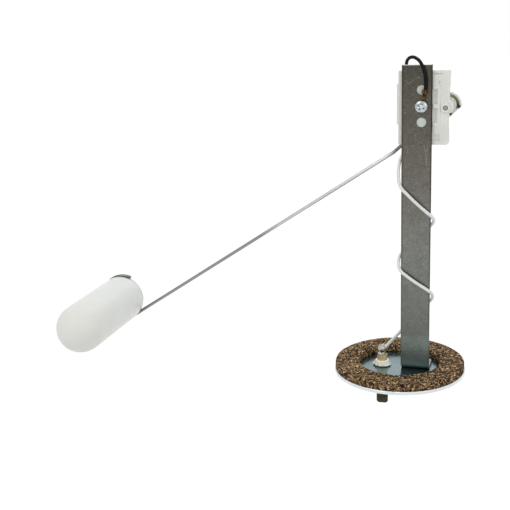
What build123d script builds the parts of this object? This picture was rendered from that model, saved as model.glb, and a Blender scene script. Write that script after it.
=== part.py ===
from build123d import *
import math
import os

os.makedirs("parts", exist_ok=True)

# The origin is the centre of the gasket face that meets the tank, with the flange below it.
# X runs along the width of the bracket strip, Y away from its front face, Z up the strip.

# Bracket strip
strip_width = 12.7
strip_thickness = 1.2
strip_left = 1.1
strip_front = -3.9
strip_top = 132.9
bend_radius = 4.2
foot_end = 9.0
foot_corner_radius = 2.0
strip_edge_radius = 0.15
strip_back = strip_front + strip_thickness
strip_right = strip_left + strip_width

# Gasket and flange
gasket_thickness = 3.2
gasket_clearance = 1.62
gasket_ring_width = 10.9
gasket_margin = 0.5
flange_thickness = 1.6
flange_edge_radius = 0.35
gasket_bore = 2 * (math.hypot(strip_right, foot_end) + gasket_clearance)
gasket_dia = gasket_bore + 2 * gasket_ring_width
flange_dia = gasket_dia + 2 * gasket_margin
flange_top = -gasket_thickness
flange_bottom = flange_top - flange_thickness
foot_top = flange_top + strip_thickness

# Foot rivets
rivet_radius = 1.25
rivet_head_radius = 2.1
rivet_head_height = 1.0
rivet_tail_height = 0.7
rivet_margin = 0.85
fit_gap = 0.03
rivet_inset = rivet_head_radius + rivet_margin
rivet_y = (strip_front + bend_radius + foot_end) / 2

# Terminal through the flange
terminal_x = -7.95
terminal_y = 0.4
blade_width = 5.2
blade_thickness = 0.8
blade_length = 17.5
blade_chamfer = 0.95
shank_width = 3.4
shank_top = 4.4
sleeve_radius = 2.85
bush_neck_radius = 3.3
bush_lip_radius = 4.35
bush_lip_gap = 0.35
bush_lip_height = 0.55
bush_top_radius = 3.05
bush_height = 2.55
insulator_radius = 4.6
insulator_thickness = 2.2
insulator_neck_radius = 3.6
insulator_length = 4.8
ferrule_radius = 2.3
ferrule_height = 2.75
solder_radius = 1.7
solder_shift = -0.3
solder_height = 4.6
blade_tip = flange_bottom - blade_length
blade_shoulder = flange_bottom - 1.0
bush_top = flange_top + bush_height
insulator_bottom = flange_bottom - insulator_length
ferrule_top = bush_top + ferrule_height
solder_top = ferrule_top + solder_height

# Housing
housing_left = -0.5
housing_right = 20.9
housing_waist = 0.3
housing_flare = 0.3
housing_bottom = 99.4
housing_top = 130.4
housing_corner = 1.6
plate_thickness = 1.5
wall = 1.2
chamber_depth = 5.6
chamber_inset = 1.2
chamber_drop = 0.6
cover_thickness = 1.2
side_box_step = 0.6
side_box_bottom = 107.9
side_box_top = 124.8
cover_boss_inset = 3.0
cover_boss_radius = 1.6
cover_screw_radius = 0.75
plate_front = strip_back
plate_back = plate_front + plate_thickness
cover_front = plate_back + chamber_depth
cover_back = cover_front + cover_thickness
chamber_right = housing_right - chamber_inset
chamber_top = housing_top - chamber_drop
chamber_width = chamber_right - housing_left
chamber_height = chamber_top - housing_bottom
chamber_x = (housing_left + chamber_right) / 2
chamber_z = (housing_bottom + chamber_top) / 2
side_box_height = side_box_top - side_box_bottom
side_box_z = (side_box_bottom + side_box_top) / 2
cover_boss_x = chamber_right - 0.5 - wall
cover_boss_low = housing_bottom + cover_boss_inset
cover_boss_high = chamber_top - cover_boss_inset

# Pegs and the earth screw
peg_x = 9.4
peg_radius = 2.0
peg_fit = 0.05
peg_upper_z = 122.5
peg_lower_z = 109.0
peg_recess = 0.15
screw_z = 115.7
screw_radius = 1.5
screw_clearance = 0.1
screw_head_radius = 2.8
screw_head_height = 1.9
screw_recess_depth = 1.0
ring_thickness = 0.5
ring_radius = 2.95
nut_thickness = 1.8
nut_across_flats = 5.5
peg_hole_radius = peg_radius + peg_fit
peg_length = strip_thickness - peg_recess

# Pivot
pivot_x = 19.3
pivot_z = 115.0
wire_radius = 0.78
running_gap = 0.08
boss_radius = 1.9
collar_wall = 0.7
moving_gap = 0.3
boss_front = strip_front

# Float
float_radius = 11.35
float_x = -141.75
float_z = 17.9
float_near = -35.8
float_far = 7.2
float_wall = 1.0

# Float arm, from its hoop in the float's groove to the pivot
arm_y = 10.0
kink_x = -4.5
kink_z = 93.8
groove_depth = 1.2
groove_fit = 0.05
hoop_end_angle = 65.0
groove_floor = math.sqrt(float_radius**2 - (arm_y - float_far) ** 2) - groove_depth
hoop_radius = groove_floor + groove_fit + wire_radius
kink_reach = math.hypot(kink_x - float_x, kink_z - float_z)
kink_angle = math.degrees(math.atan2(kink_z - float_z, kink_x - float_x))
hoop_meet_angle = kink_angle - math.degrees(math.acos(hoop_radius / kink_reach))

# Resistor card, winding and wiper
card_width = 5.1
card_end_gap = 2.0
card_thickness = 0.75
card_standoff = 2.35
card_gap = 0.8
winding_wall = 0.3
winding_margin = 1.6
wiper_lift = 0.5
wiper_thickness = 0.3
contact_gap = 0.08
contact_radius = 0.55
contact_inset = 1.4
card_left = housing_left + wall + card_gap
card_x = card_left + card_width / 2
card_height = chamber_height - 2 * wall - 2 * card_end_gap
winding_height = card_height - 2 * winding_margin
card_front = plate_back + card_standoff
card_y = card_front + card_thickness / 2
winding_back = card_front + card_thickness + winding_wall
wiper_front = winding_back + wiper_lift
wiper_back = wiper_front + wiper_thickness
wiper_reach = pivot_x - card_left - contact_inset

# Rotor
barrel_radius = 1.6
barrel_nose_radius = 1.3
rotor_disc_radius = 3.5
rotor_disc_gap = 0.2
rotor_disc_depth = 2.0
rotor_rim_gap = 1.6
rotor_rim_depth = 1.7
rotor_rim_radius = 5.4
rotor_rim_width = 0.8
rotor_chord = 4.25
rotor_chord_angle = -46.7
rotor_recess = 0.4
rotor_pin_radius = 0.45
rotor_pin_inset = 0.6
rotor_pin_place = -1.9
stop_orbit = 6.2
stop_radius = 1.0
lug_outer = 7.0
lug_width = 1.8
swing = 72.0
rotor_disc_front = cover_back + rotor_disc_gap
rotor_rim_front = rotor_disc_front + rotor_rim_gap
rotor_back = rotor_rim_front + rotor_rim_depth
rotor_disc_back = rotor_disc_front + rotor_disc_depth
stop_back = rotor_rim_front - 0.25
stop_angle = swing / 2 + math.degrees((lug_width / 2 + stop_radius + 0.1) / stop_orbit)

# Wires
signal_radius = 0.72
earth_radius = 0.72
wire_gap = 0.15
signal_x = 6.0
signal_y = 1.2
earth_x = 2.04
earth_y = 2.7
earth_front = strip_front - earth_radius - 0.48
tag_gap = 0.08
spring_thickness = 0.3
signal_front = strip_front - signal_radius - wire_gap
signal_back = strip_back + signal_radius + wire_gap
signal_left = strip_left - signal_radius - wire_gap
signal_right = strip_right + signal_radius + wire_gap
spring_front = earth_y + earth_radius + tag_gap
spring_pad_z = chamber_top - wall - 1.5


def face_plane(y):
    return Plane.XZ.offset(-y)


def turned_plane(y, angle):
    turn = math.radians(angle)
    return Plane(origin=(pivot_x, y, pivot_z), x_dir=(math.cos(turn), 0, math.sin(turn)), z_dir=(0, -1, 0))


def finish(builder, label):
    builder.part.label = label
    export_step(builder.part, "parts/" + label + ".step")


def turn_angle(before, corner, after):
    first = (Vector(*corner) - Vector(*before)).normalized()
    second = (Vector(*after) - Vector(*corner)).normalized()
    return math.acos(max(-1.0, min(1.0, first.dot(second))))


def corner_radii(points, largest):
    radii = []
    for before, corner, after in zip(points, points[1:], points[2:]):
        shorter = min((Vector(*corner) - Vector(*before)).length, (Vector(*after) - Vector(*corner)).length)
        reach = 0.45 * shorter / math.tan(turn_angle(before, corner, after) / 2)
        radii.append(min(largest, reach))
    return radii


def make_wire(label, points, radius, radii):
    with BuildPart() as wire:
        with BuildLine() as route:
            FilletPolyline(*points, radius=radii)
        centre_line = route.wires()[0]
        with BuildSketch(Plane(origin=centre_line @ 0, z_dir=centre_line % 0)):
            Circle(radius)
        sweep(path=centre_line)
    length = centre_line.length
    print(label, "length", round(length, 1), "radii", [round(r, 2) for r in radii])
    print(label, "volume ratio", round(wire.part.volume / (math.pi * radius**2 * length), 4))
    finish(wire, label)
    return wire


# Flange plate
with BuildPart() as flange_plate:
    with BuildSketch(Plane.XY.offset(flange_bottom)):
        Circle(flange_dia / 2)
        with Locations((terminal_x, terminal_y)):
            Circle(sleeve_radius + fit_gap, mode=Mode.SUBTRACT)
        with Locations((strip_left + rivet_inset, rivet_y), (strip_right - rivet_inset, rivet_y)):
            Circle(rivet_radius + fit_gap, mode=Mode.SUBTRACT)
    extrude(amount=flange_thickness)
    rim = flange_plate.edges().filter_by(GeomType.CIRCLE).filter_by(lambda edge: edge.radius > gasket_bore / 2)
    fillet(rim, flange_edge_radius)
finish(flange_plate, "flange_plate")

# Cork gasket
with BuildPart() as cork_gasket:
    with BuildSketch(Plane.XY.offset(flange_top)):
        Circle(gasket_dia / 2)
        Circle(gasket_bore / 2, mode=Mode.SUBTRACT)
    extrude(amount=gasket_thickness)
finish(cork_gasket, "cork_gasket")

# Bracket strip, its foot folded back onto the flange
with BuildPart() as bracket_strip:
    with BuildSketch(Plane.YZ.offset(strip_left)) as profile:
        with BuildLine():
            Polyline(
                (strip_front, strip_top),
                (strip_front, flange_top),
                (foot_end, flange_top),
                (foot_end, foot_top),
                (strip_back, foot_top),
                (strip_back, strip_top),
                close=True,
            )
        make_face()
        fillet(profile.vertices().sort_by_distance((strip_front, flange_top))[0], bend_radius)
        fillet(profile.vertices().sort_by_distance((strip_back, foot_top))[0], bend_radius - strip_thickness)
    extrude(amount=strip_width)
    foot_corners = bracket_strip.edges().filter_by(Axis.Z).group_by(Axis.Y)[-1]
    fillet(foot_corners, foot_corner_radius)
    long_edges = bracket_strip.edges().filter_by(Axis.Z).filter_by(lambda edge: edge.length > strip_top / 2)
    fillet(long_edges, strip_edge_radius)
    with BuildSketch(face_plane(strip_back)):
        with Locations((peg_x, peg_upper_z), (peg_x, peg_lower_z)):
            Circle(peg_hole_radius)
        with Locations((peg_x, screw_z)):
            Circle(screw_radius + screw_clearance)
    extrude(amount=strip_thickness, mode=Mode.SUBTRACT)
    with BuildSketch(Plane.XY.offset(flange_top)):
        with Locations((strip_left + rivet_inset, rivet_y), (strip_right - rivet_inset, rivet_y)):
            Circle(rivet_radius + fit_gap)
    extrude(amount=strip_thickness, mode=Mode.SUBTRACT)
finish(bracket_strip, "bracket_strip")


def make_rivet(label, x):
    with BuildPart() as rivet:
        with BuildSketch(Plane.XY.offset(foot_top)):
            with Locations((x, rivet_y)):
                Circle(rivet_head_radius)
        extrude(amount=rivet_head_height)
        fillet(rivet.faces().sort_by(Axis.Z)[-1].edges(), 0.75 * rivet_head_height)
        with BuildSketch(Plane.XY.offset(flange_bottom - rivet_tail_height)):
            with Locations((x, rivet_y)):
                Circle(rivet_head_radius)
        extrude(amount=rivet_tail_height)
        chamfer(rivet.faces().sort_by(Axis.Z)[0].edges(), 0.4 * rivet_tail_height)
        with BuildSketch(Plane.XY.offset(flange_bottom)):
            with Locations((x, rivet_y)):
                Circle(rivet_radius)
        extrude(amount=foot_top - flange_bottom)
    finish(rivet, label)


# Foot rivets
make_rivet("foot_rivet_left", strip_left + rivet_inset)
make_rivet("foot_rivet_right", strip_right - rivet_inset)

# Inner insulating bush, with a lip flared out over the flange
lip_bottom = flange_top + bush_lip_gap
lip_top = lip_bottom + bush_lip_height
with BuildPart() as inner_bush:
    with BuildSketch(Plane.XZ.offset(-terminal_y)):
        with BuildLine():
            Polyline(
                (terminal_x, flange_bottom),
                (terminal_x + sleeve_radius, flange_bottom),
                (terminal_x + sleeve_radius, flange_top),
                (terminal_x + bush_neck_radius, flange_top),
                (terminal_x + bush_neck_radius, lip_bottom),
                (terminal_x + bush_lip_radius, lip_bottom),
                (terminal_x + bush_lip_radius, lip_bottom + 0.3 * bush_lip_height),
                (terminal_x + bush_neck_radius, lip_top),
                (terminal_x + bush_top_radius, bush_top),
                (terminal_x, bush_top),
                close=True,
            )
        make_face()
    revolve(axis=Axis((terminal_x, terminal_y, 0), (0, 0, 1)))
    with BuildSketch(Plane.XY.offset(flange_bottom)):
        with Locations((terminal_x, terminal_y)):
            Rectangle(shank_width + 2 * fit_gap, blade_thickness + 2 * fit_gap)
    extrude(amount=bush_top - flange_bottom, mode=Mode.SUBTRACT)
finish(inner_bush, "inner_bush")

# Outer insulator
with BuildPart() as outer_insulator:
    with BuildSketch(Plane.XY.offset(insulator_bottom)):
        with Locations((terminal_x, terminal_y)):
            Circle(insulator_neck_radius)
    extrude(amount=flange_bottom - insulator_bottom)
    with BuildSketch(Plane.XY.offset(flange_bottom - insulator_thickness)):
        with Locations((terminal_x, terminal_y)):
            Circle(insulator_radius)
    extrude(amount=insulator_thickness)
    with BuildSketch(Plane.XY.offset(insulator_bottom)):
        with Locations((terminal_x, terminal_y)):
            Rectangle(blade_width + 2 * fit_gap, blade_thickness + 2 * fit_gap)
    extrude(amount=blade_shoulder + fit_gap - insulator_bottom, mode=Mode.SUBTRACT)
    with BuildSketch(Plane.XY.offset(blade_shoulder)):
        with Locations((terminal_x, terminal_y)):
            Rectangle(shank_width + 2 * fit_gap, blade_thickness + 2 * fit_gap)
    extrude(amount=flange_bottom - blade_shoulder, mode=Mode.SUBTRACT)
finish(outer_insulator, "outer_insulator")

# Blade terminal, with a narrower shank through the bush
with BuildPart() as terminal_blade:
    with BuildSketch(face_plane(terminal_y + blade_thickness / 2)) as blade_face:
        with Locations((terminal_x, (blade_shoulder + blade_tip) / 2)):
            Rectangle(blade_width, blade_shoulder - blade_tip)
        chamfer(blade_face.vertices().group_by(Axis.Y)[0], blade_chamfer)
        with Locations((terminal_x, (blade_shoulder + shank_top) / 2)):
            Rectangle(shank_width, shank_top - blade_shoulder)
    extrude(amount=blade_thickness)
    tip_edges = terminal_blade.faces().sort_by(Axis.Z)[0].edges().filter_by(Axis.X)
    chamfer(tip_edges, 0.25 * blade_thickness)
finish(terminal_blade, "terminal_blade")

# Brass ferrule round the shank
with BuildPart() as terminal_ferrule:
    with BuildSketch(Plane.XY.offset(bush_top)):
        with Locations((terminal_x, terminal_y)):
            Circle(ferrule_radius)
            Rectangle(shank_width + 2 * fit_gap, blade_thickness + 2 * fit_gap, mode=Mode.SUBTRACT)
    extrude(amount=ferrule_height)
finish(terminal_ferrule, "terminal_ferrule")

# Signal wire, wound twice round the strip on its way from the housing to the terminal
signal_points = [
    (signal_x, signal_y, housing_bottom + 2.8),
    (signal_x, signal_y, housing_bottom - 1.2),
    (signal_left, signal_back, 91.4),
    (signal_left, signal_front, 82.3),
    (signal_right, signal_front, 68.6),
    (signal_right, signal_back, 64.8),
    (signal_left, signal_back, 50.9),
    (signal_left, signal_front, 44.8),
    (signal_right, signal_front, 34.5),
    (signal_right, signal_back, 30.6),
    (terminal_x + 0.95, terminal_y - 0.1, ferrule_top + 2.65),
]
signal_wire = make_wire("signal_wire", signal_points, signal_radius, corner_radii(signal_points, 2.4))

# Earth wire, looped over the top of the strip
earth_points = [
    (10.45, earth_front, 120.6),
    (11.5, earth_front, 126.4),
    (9.8, earth_front - 0.2, 132.4),
    (6.67, -3.4, 136.1),
    (3.67, -0.6, 136.0),
    (2.3, 1.9, 134.1),
    (earth_x, earth_y, 131.6),
    (earth_x, earth_y, spring_pad_z - 0.3),
]
earth_wire = make_wire("earth_wire", earth_points, earth_radius, corner_radii(earth_points, 6.0))

# Solder that fills the ferrule's mouth and holds the signal wire
solder_x = terminal_x + solder_shift
with BuildPart() as terminal_solder:
    with BuildSketch(Plane.XY.offset(ferrule_top)):
        with Locations((terminal_x, terminal_y)):
            Circle(ferrule_radius - 0.1)
    extrude(amount=1.1)
    slant = Plane(origin=(terminal_x, terminal_y, ferrule_top + 0.65), z_dir=(-0.2, -0.16, 1))
    split(bisect_by=slant, keep=Keep.BOTTOM)
    with BuildSketch(Plane.XY.offset(ferrule_top)):
        with Locations((solder_x, terminal_y - 0.2)):
            Circle(solder_radius)
    extrude(amount=solder_height)
    fillet(terminal_solder.faces().sort_by(Axis.Z)[-1].edges(), solder_radius * 0.75)
    with BuildSketch(Plane.XY.offset(ferrule_top)):
        with Locations((terminal_x, terminal_y)):
            Rectangle(shank_width + 2 * fit_gap, blade_thickness + 2 * fit_gap)
    extrude(amount=shank_top + fit_gap - ferrule_top, mode=Mode.SUBTRACT)
    add(signal_wire.part, mode=Mode.SUBTRACT)
finish(terminal_solder, "terminal_solder")

# Housing body
with BuildPart() as housing_body:
    with BuildSketch(face_plane(plate_back)) as plate_outline:
        with BuildLine():
            Polyline(
                (housing_left, housing_bottom),
                (housing_right, housing_bottom),
                (housing_right - housing_waist, pivot_z - boss_radius),
                (housing_right + housing_flare, housing_top),
                (housing_left, housing_top),
                close=True,
            )
        make_face()
        fillet(plate_outline.vertices().sort_by_distance((housing_right, housing_bottom))[0], housing_corner)
        with Locations((housing_left, side_box_z)):
            Rectangle(2 * side_box_step, side_box_height)
        with Locations((pivot_x, pivot_z)):
            Circle(barrel_radius + moving_gap * 2 + collar_wall)
    extrude(amount=plate_thickness)
    with BuildSketch(face_plane(cover_front)) as wall_outline:
        with Locations((chamber_x, chamber_z)):
            Rectangle(chamber_width, chamber_height)
        fillet(wall_outline.vertices().sort_by_distance((chamber_right, housing_bottom))[0], housing_corner)
        with Locations((housing_left, side_box_z)):
            Rectangle(2 * side_box_step, side_box_height)
        with Locations((pivot_x, pivot_z)):
            Circle(barrel_radius + moving_gap * 2 + collar_wall)
    extrude(amount=chamber_depth)
    with BuildSketch(face_plane(cover_front)):
        with Locations((chamber_x, chamber_z)):
            Rectangle(chamber_width - 2 * wall, chamber_height - 2 * wall)
        with Locations((pivot_x, pivot_z)):
            Circle(barrel_radius + moving_gap * 2)
    extrude(amount=chamber_depth, mode=Mode.SUBTRACT)
    # Bosses for the cover screws and pads for the resistor card
    with BuildSketch(face_plane(cover_front)):
        with Locations((cover_boss_x, cover_boss_low), (cover_boss_x, cover_boss_high)):
            Circle(cover_boss_radius)
    extrude(amount=chamber_depth)
    with BuildSketch(face_plane(card_front - 0.05)):
        pad_reach = card_height / 2 - 0.7
        with Locations((card_x - 0.65, chamber_z - pad_reach), (card_x - 0.65, chamber_z + pad_reach)):
            Rectangle(card_width / 2, 1.2)
    extrude(amount=card_front - 0.05 - plate_back)
    # Pegs and the pivot boss on the front
    with BuildSketch(face_plane(plate_front)):
        with Locations((peg_x, peg_upper_z), (peg_x, peg_lower_z)):
            Circle(peg_radius)
    extrude(amount=peg_length)
    with BuildSketch(face_plane(plate_front)):
        with Locations((pivot_x, pivot_z)):
            Circle(boss_radius)
    extrude(amount=plate_front - boss_front)
    fillet(housing_body.faces().sort_by(Axis.Y)[0].edges(), 0.25)
    # Raised frame and shallow pockets beside the strip
    with BuildSketch(face_plane(plate_front)):
        with Locations((strip_right + 1.7, pivot_z + 0.75)):
            Rectangle(3.0, 16.9)
    extrude(amount=0.3)
    with BuildSketch(face_plane(plate_front + 0.5)):
        with Locations((strip_right + 1.1, pivot_z + 4.6), (strip_right + 1.1, pivot_z - 3.2)):
            Rectangle(2.0, 6.2)
        with Locations((strip_right + 1.6, housing_bottom + 3.0)):
            Rectangle(3.2, 2.8)
        with Locations((strip_right + 2.25, housing_top - 1.4)):
            Rectangle(3.5, 0.4)
        with Locations((strip_right + 2.8, housing_top - 4.9)):
            Circle(0.45)
    extrude(amount=0.8, mode=Mode.SUBTRACT)
    # Bores
    with BuildSketch(face_plane(plate_back)):
        with Locations((pivot_x, pivot_z)):
            Circle(wire_radius + running_gap)
        with Locations((peg_x, screw_z)):
            Circle(screw_radius + screw_clearance)
    extrude(amount=plate_back - boss_front, mode=Mode.SUBTRACT)
    with BuildSketch(face_plane(cover_front)):
        with Locations((cover_boss_x, cover_boss_low), (cover_boss_x, cover_boss_high)):
            Circle(cover_screw_radius + fit_gap)
    extrude(amount=chamber_depth - 1.0, mode=Mode.SUBTRACT)
    with BuildSketch(Plane.XY.offset(housing_bottom)):
        with Locations((signal_x, signal_y)):
            Circle(signal_radius + 0.1)
    extrude(amount=wall, mode=Mode.SUBTRACT)
    with BuildSketch(Plane.XY.offset(chamber_top - wall)):
        with Locations((earth_x, earth_y)):
            Circle(earth_radius + 0.1)
    extrude(amount=wall, mode=Mode.SUBTRACT)
finish(housing_body, "housing_body")

# Housing cover with its two stops
with BuildPart() as housing_cover:
    with BuildSketch(face_plane(cover_back)) as cover_outline:
        with Locations((chamber_x, chamber_z)):
            Rectangle(chamber_width, chamber_height)
        fillet(cover_outline.vertices().sort_by_distance((chamber_right, housing_bottom))[0], housing_corner)
        with Locations((housing_left, side_box_z)):
            Rectangle(2 * side_box_step, side_box_height)
        with Locations((pivot_x, pivot_z)):
            Circle(barrel_radius + moving_gap * 2 + collar_wall)
            Circle(barrel_radius + running_gap, mode=Mode.SUBTRACT)
        with Locations((cover_boss_x, cover_boss_low), (cover_boss_x, cover_boss_high)):
            Circle(cover_screw_radius + 0.1, mode=Mode.SUBTRACT)
    extrude(amount=cover_thickness)
    with BuildSketch(face_plane(stop_back)):
        for angle in (180 + stop_angle, 180 - stop_angle):
            stop_x = pivot_x + stop_orbit * math.cos(math.radians(angle))
            stop_z = pivot_z + stop_orbit * math.sin(math.radians(angle))
            with Locations((stop_x, stop_z)):
                Circle(stop_radius)
    extrude(amount=stop_back - cover_back)
    with BuildSketch(face_plane(cover_back)):
        with Locations((cover_boss_x, cover_boss_low), (cover_boss_x, cover_boss_high)):
            Circle(cover_screw_radius + 0.7)
    extrude(amount=0.7, taper=45, mode=Mode.SUBTRACT)
finish(housing_cover, "housing_cover")


def make_cover_screw(label, z):
    with BuildPart() as screw:
        with BuildSketch(Plane.XY.offset(z)):
            with BuildLine():
                Polyline(
                    (cover_boss_x, cover_back - 0.05),
                    (cover_boss_x + cover_screw_radius + 0.55, cover_back - 0.05),
                    (cover_boss_x + cover_screw_radius, cover_back - 0.6),
                    (cover_boss_x + cover_screw_radius, cover_front - 3.8),
                    (cover_boss_x, cover_front - 4.3),
                    close=True,
                )
            make_face()
        revolve(axis=Axis((cover_boss_x, 0, z), (0, 1, 0)))
        with Locations((cover_boss_x, cover_back, z)):
            Box(4 * cover_screw_radius, 0.8, 0.4, mode=Mode.SUBTRACT)
    finish(screw, label)


# Cover screws
make_cover_screw("cover_screw_lower", cover_boss_low)
make_cover_screw("cover_screw_upper", cover_boss_high)

# Resistor card former
with BuildPart() as card_former:
    with BuildSketch(face_plane(card_front + card_thickness)):
        with Locations((card_x, chamber_z)):
            Rectangle(card_width, card_height)
    extrude(amount=card_thickness)
finish(card_former, "card_former")

# Resistance wire, wound close on the former
with BuildPart() as resistance_winding:
    with BuildSketch(Plane.XY.offset(chamber_z - winding_height / 2)):
        with Locations((card_x, card_y)):
            RectangleRounded(card_width + 2 * winding_wall, card_thickness + 2 * winding_wall, 0.3)
            Rectangle(card_width + 0.04, card_thickness + 0.04, mode=Mode.SUBTRACT)
    extrude(amount=winding_height)
finish(resistance_winding, "resistance_winding")

# Solder tag of the signal wire
with BuildPart() as signal_tag:
    with BuildSketch(face_plane(signal_y + signal_radius + tag_gap + spring_thickness)) as tag_outline:
        with Locations((signal_x, housing_bottom + wall + 1.5)):
            Rectangle(2.6, 2.4)
        fillet(tag_outline.vertices(), 0.5)
    extrude(amount=spring_thickness)
finish(signal_tag, "signal_tag")

# Pick-up spring from the earth wire to the rotor barrel
with BuildPart() as pickup_spring:
    with BuildSketch(face_plane(spring_front + spring_thickness)):
        with Locations((earth_x + 0.3, spring_pad_z)):
            Rectangle(2.6, 2.6)
        with BuildLine():
            Polyline(
                (earth_x + 0.4, spring_pad_z - 0.9),
                (pivot_x - barrel_radius - 0.1, pivot_z + barrel_radius + 0.4),
                (pivot_x - barrel_radius + 0.4, pivot_z + barrel_radius + 1.3),
                (earth_x + 1.2, spring_pad_z + 0.3),
                close=True,
            )
        make_face()
    extrude(amount=spring_thickness)
finish(pickup_spring, "pickup_spring")

# Ring terminal of the earth wire, with its two crimps
crimp_angle = 78.0
crimp_way = Vector(math.cos(math.radians(crimp_angle)), 0, math.sin(math.radians(crimp_angle)))
crimp_plane = Plane(origin=(peg_x, earth_front, screw_z), x_dir=(0, 1, 0), z_dir=crimp_way)
ring_front = strip_front - ring_thickness
with BuildPart() as ring_terminal:
    with BuildSketch(face_plane(strip_front)):
        with Locations((peg_x, screw_z)):
            Circle(ring_radius)
        with Locations((peg_x + ring_radius * crimp_way.X, screw_z + ring_radius * crimp_way.Z)):
            Rectangle(4.0, 1.9, rotation=crimp_angle)
        with Locations((peg_x, screw_z)):
            Circle(screw_radius + screw_clearance, mode=Mode.SUBTRACT)
    extrude(amount=ring_thickness)
    with BuildSketch(crimp_plane.offset(ring_radius + 0.05)):
        Circle(earth_radius + 0.4)
    extrude(amount=1.55)
    with BuildSketch(crimp_plane.offset(ring_radius + 1.4)):
        with Locations((0.85, 0)):
            Rectangle(0.4, 1.2)
    extrude(amount=1.4)
    with BuildSketch(crimp_plane.offset(ring_radius + 2.6)):
        Circle(earth_radius + 0.45)
    extrude(amount=1.6)
    add(earth_wire.part, mode=Mode.SUBTRACT)
finish(ring_terminal, "ring_terminal")

# Earth screw
with BuildPart() as earth_screw:
    with BuildSketch(face_plane(ring_front)):
        with Locations((peg_x, screw_z)):
            Circle(screw_head_radius)
    extrude(amount=screw_head_height)
    fillet(earth_screw.faces().sort_by(Axis.Y)[0].edges(), screw_head_height * 0.55)
    with BuildSketch(face_plane(ring_front - screw_head_height + screw_recess_depth)):
        with Locations((peg_x, screw_z)):
            Rectangle(screw_head_radius * 1.2, 0.8)
            Rectangle(0.8, screw_head_radius * 1.2)
    extrude(amount=screw_recess_depth, mode=Mode.SUBTRACT)
    with BuildSketch(face_plane(plate_back + nut_thickness + 1.0)):
        with Locations((peg_x, screw_z)):
            Circle(screw_radius)
    extrude(amount=plate_back + nut_thickness + 1.0 - ring_front)
    chamfer(earth_screw.faces().sort_by(Axis.Y)[-1].edges(), 0.2 * screw_radius)
finish(earth_screw, "earth_screw")

# Nut behind the housing plate
with BuildPart() as earth_nut:
    with BuildSketch(face_plane(plate_back + nut_thickness)):
        with Locations((peg_x, screw_z)):
            RegularPolygon(nut_across_flats / 2, 6, major_radius=False)
            Circle(screw_radius + fit_gap, mode=Mode.SUBTRACT)
    extrude(amount=nut_thickness)
finish(earth_nut, "earth_nut")


def hoop_point(angle):
    turn = math.radians(angle)
    return (float_x + hoop_radius * math.cos(turn), arm_y, float_z + hoop_radius * math.sin(turn))


# Float arm, one wire from its hoop round the float to its bent end in the housing's boss
hoop_middle_angle = (hoop_end_angle + 360 + hoop_meet_angle) / 2
with BuildPart() as arm_wire:
    with BuildLine() as arm_route:
        ThreePointArc(hoop_point(hoop_end_angle), hoop_point(hoop_middle_angle), hoop_point(hoop_meet_angle))
        FilletPolyline(
            hoop_point(hoop_meet_angle),
            (kink_x, arm_y, kink_z),
            (pivot_x, arm_y, pivot_z),
            (pivot_x, boss_front + 0.1, pivot_z),
            radius=[9.0, 1.2],
        )
    arm_line = arm_route.wires()[0]
    with BuildSketch(Plane(origin=arm_line @ 0, z_dir=arm_line % 0)):
        Circle(wire_radius)
    sweep(path=arm_line)
arm_volume = math.pi * wire_radius**2 * arm_line.length
print("arm_wire length", round(arm_line.length, 1), "volume ratio", round(arm_wire.part.volume / arm_volume, 4))
finish(arm_wire, "arm_wire")


def capsule_face(radius):
    with BuildSketch(Plane.XY.offset(float_z)) as half:
        with BuildLine():
            Line((float_x, float_near - radius), (float_x, float_far + radius))
            CenterArc((float_x, float_far), radius, 0, 90)
            Line((float_x + radius, float_far), (float_x + radius, float_near))
            CenterArc((float_x, float_near), radius, -90, 90)
        make_face()
    return half.sketch


# Hollow float, with a groove for the arm's hoop round its far cap
float_axis = Axis((float_x, 0, float_z), (0, 1, 0))
outer_half = capsule_face(float_radius)
inner_half = capsule_face(float_radius - float_wall)
groove_half_width = wire_radius + groove_fit
band_inside = groove_floor - float_wall
with BuildSketch(Plane.XY.offset(float_z)) as band:
    with Locations((float_x + (band_inside + float_radius) / 2, arm_y)):
        Rectangle(float_radius - band_inside, 2 * (groove_half_width + float_wall))
with BuildSketch(Plane.XY.offset(float_z)) as groove:
    with Locations((float_x + hoop_radius, arm_y)):
        Circle(groove_half_width)
    with Locations((float_x + hoop_radius + float_radius / 2, arm_y)):
        Rectangle(float_radius, 2 * groove_half_width)
with BuildPart() as float_body:
    revolve(outer_half, axis=float_axis)
    revolve(inner_half, axis=float_axis, mode=Mode.SUBTRACT)
    revolve(band.sketch, axis=float_axis)
    revolve(outer_half, axis=float_axis, mode=Mode.INTERSECT)
    revolve(groove.sketch, axis=float_axis, mode=Mode.SUBTRACT)
finish(float_body, "float")

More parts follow.
